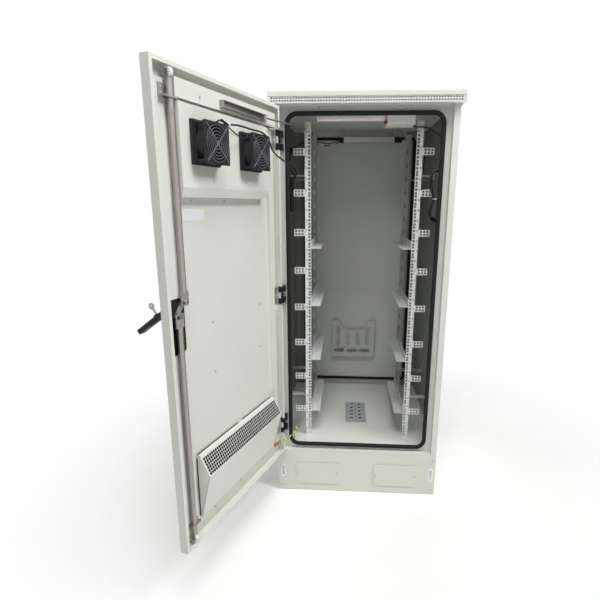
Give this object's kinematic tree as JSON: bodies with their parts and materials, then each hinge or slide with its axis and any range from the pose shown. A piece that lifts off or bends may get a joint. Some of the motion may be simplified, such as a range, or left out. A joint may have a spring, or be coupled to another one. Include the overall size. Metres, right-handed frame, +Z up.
{
  "type": "roadside utility cabinet",
  "caption": "Light grey outdoor equipment cabinet on a plinth with an open fan door, rod lock, black gasket and a rack of perforated rails inside.",
  "frame": {"origin": "centre of the plinth's footprint on the ground, the centre of its anchor holes", "axes": "+Z up, -Y out of the door opening, +X to the right seen from the front"},
  "size_m": [1.1176, 1.4839, 1.8],
  "materials": {
    "paint": "light grey powder coat",
    "zinc": "zinc plated",
    "stainless": "brushed",
    "gasket_rubber": "matt",
    "black_plastic": "satin",
    "white_plastic": "satin",
    "lamp_glow": "frosted",
    "filter_fleece": "matt",
    "cable_black": "satin",
    "cable_green": "satin"
  },
  "bodies": {
    "cabinet": {"plinth_frame": "paint", "plinth_front_panel": "paint", "cable_covers": "paint", "left_side_panel": "paint", "right_side_panel": "paint", "back_panel": "paint", "front_frame": "paint", "top_panel": "paint", "roof_cap": "paint", "roof_vent_strip": "paint", "roof_spacers": "zinc", "floor_panel": "paint", "gland_plate": "paint", "cable_glands": "white_plastic", "door_gasket": "gasket_rubber", "front_rail_left": "zinc", "front_rail_right": "zinc", "rear_rails": "zinc", "rear_gasket": "gasket_rubber", "rail_brackets": "zinc", "lacing_tabs_left": "zinc", "lacing_tabs_right": "zinc", "shelf_rails_left": "zinc", "shelf_rails_right": "zinc", "document_pocket": "zinc", "lamp_housing": "white_plastic", "lamp_tube": "lamp_glow", "driver_box": "white_plastic", "rear_bar": "zinc", "terminal_box": "black_plastic", "hinge_blocks": "black_plastic", "hinge_pins": "stainless", "stay_bracket": "stainless", "body_screws": "zinc", "power_lead": "cable_black", "earth_wire": "cable_green", "fan_cable": "cable_black"},
    "door": {"door_shell": "paint", "door_stiffeners": "paint", "hinge_leaves": "zinc", "fan_box": "paint", "fan_frames": "black_plastic", "fan_guards": "black_plastic", "filter_cover": "paint", "filter_grille": "paint", "stay_channel": "stainless", "rod_guides": "stainless", "lock_housing": "black_plastic", "door_screws": "zinc"},
    "stay_arm": {"stay_rod": "stainless"},
    "left_fan": {"fan_rotor_left": "black_plastic"},
    "right_fan": {"fan_rotor_right": "black_plastic"},
    "filter": {"dust_filter": "filter_fleece"},
    "lock": {"lock_spindle": "stainless"},
    "handle": {"lock_handle": "black_plastic"},
    "key": {"lock_key": "stainless"},
    "rod_above": {"upper_rod": "stainless"},
    "rod_below": {"lower_rod": "stainless"},
    "roller_above": {"upper_roller": "white_plastic"},
    "roller_below": {"lower_roller": "white_plastic"}
  },
  "joints": [
    {"name": "door_swing", "type": "hinge", "parent": "cabinet", "child": "door", "pos_m": [-0.354, -0.41, 0.986], "axis": [0, 0, 1], "range_deg": [0, 110], "deforming": ["earth_wire", "fan_cable"]},
    {"name": "stay_swing", "type": "hinge", "parent": "cabinet", "child": "stay_arm", "pos_m": [-0.23955, -0.3025, 1.677], "axis": [0, 0, 1], "range_deg": [0, 103.5]},
    {"name": "lock_turn", "type": "hinge", "parent": "door", "child": "lock", "pos_m": [-0.58349, -1.00542, 1.056], "axis": [-0.9397, 0.342, 0], "range_deg": [0, 90]},
    {"name": "handle_lift", "type": "hinge", "parent": "lock", "child": "handle", "pos_m": [-0.60228, -0.99858, 1.056], "axis": [0.342, 0.9397, 0], "range_deg": [-55, 5]},
    {"name": "key_turn", "type": "hinge", "parent": "handle", "child": "key", "pos_m": [-0.65539, -0.97925, 1.02863], "axis": [-0.539, 0.1962, 0.8192], "range_deg": [0, 90]},
    {"name": "upper_rod_slide", "type": "slide", "parent": "door", "child": "rod_above", "axis": [0, 0, 1], "range_m": [-0.034, 0]},
    {"name": "lower_rod_slide", "type": "slide", "parent": "door", "child": "rod_below", "axis": [0, 0, 1], "range_m": [0, 0.034]},
    {"name": "upper_roller_spin", "type": "hinge", "parent": "rod_above", "child": "roller_above", "pos_m": [-0.5569, -1.0002, 1.716], "axis": [-0.342, -0.9397, 0], "continuous": true},
    {"name": "lower_roller_spin", "type": "hinge", "parent": "rod_below", "child": "roller_below", "pos_m": [-0.56647, -1.02651, 0.256], "axis": [-0.342, -0.9397, 0], "continuous": true},
    {"name": "left_fan_spin", "type": "hinge", "parent": "door", "child": "left_fan", "pos_m": [-0.4776, -0.90455, 1.543], "axis": [0.9397, -0.342, 0], "continuous": true},
    {"name": "right_fan_spin", "type": "hinge", "parent": "door", "child": "right_fan", "pos_m": [-0.39141, -0.66775, 1.543], "axis": [0.9397, -0.342, 0], "continuous": true},
    {"name": "filter_slide", "type": "slide", "parent": "door", "child": "filter", "axis": [0, 0, 1], "range_m": [0, 0.15]}
  ],
  "couplings": [
    {"joint": "stay_swing", "follows": "door_swing", "ratio": 0.93214},
    {"joint": "upper_rod_slide", "follows": "lock_turn", "m_per_rad": -0.021008},
    {"joint": "lower_rod_slide", "follows": "lock_turn", "m_per_rad": 0.021008}
  ]
}
